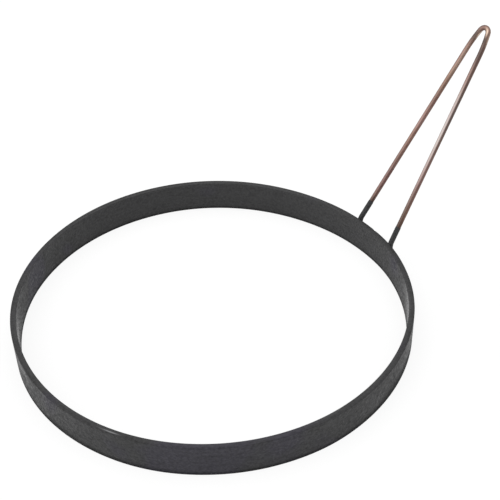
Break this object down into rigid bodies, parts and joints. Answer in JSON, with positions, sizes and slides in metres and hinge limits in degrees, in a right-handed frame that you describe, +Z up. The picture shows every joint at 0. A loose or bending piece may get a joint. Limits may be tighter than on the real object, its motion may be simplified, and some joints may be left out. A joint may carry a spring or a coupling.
{
  "type": "egg ring",
  "caption": "Low round cooking ring of coated steel strip with a slim wire handle that rises at a slant from its outside, for frying an egg or batter in a neat circle.",
  "frame": {"origin": "middle of the whole object's footprint, on the plane that the band rests on; the band's own axis is vertical and 24.2 mm from it towards -X", "axes": "+Z up, along the band's axis; +X from the band's middle towards the handle; the object is mirrored in the plane y = 0"},
  "size_m": [0.2008, 0.1524, 0.0918],
  "materials": {
    "black_coat": "satin charcoal non-stick coat on steel",
    "copper_plate": "copper-plated steel wire, slightly aged, with its feet under the charcoal coat"
  },
  "bodies": {
    "root": {"band": "black_coat", "band_seam_weld": "black_coat", "handle_wire": "copper_plate", "foot_weld_left_outer": "black_coat", "foot_weld_left_inner": "black_coat", "foot_weld_right_outer": "black_coat", "foot_weld_right_inner": "black_coat"}
  },
  "joints": []
}
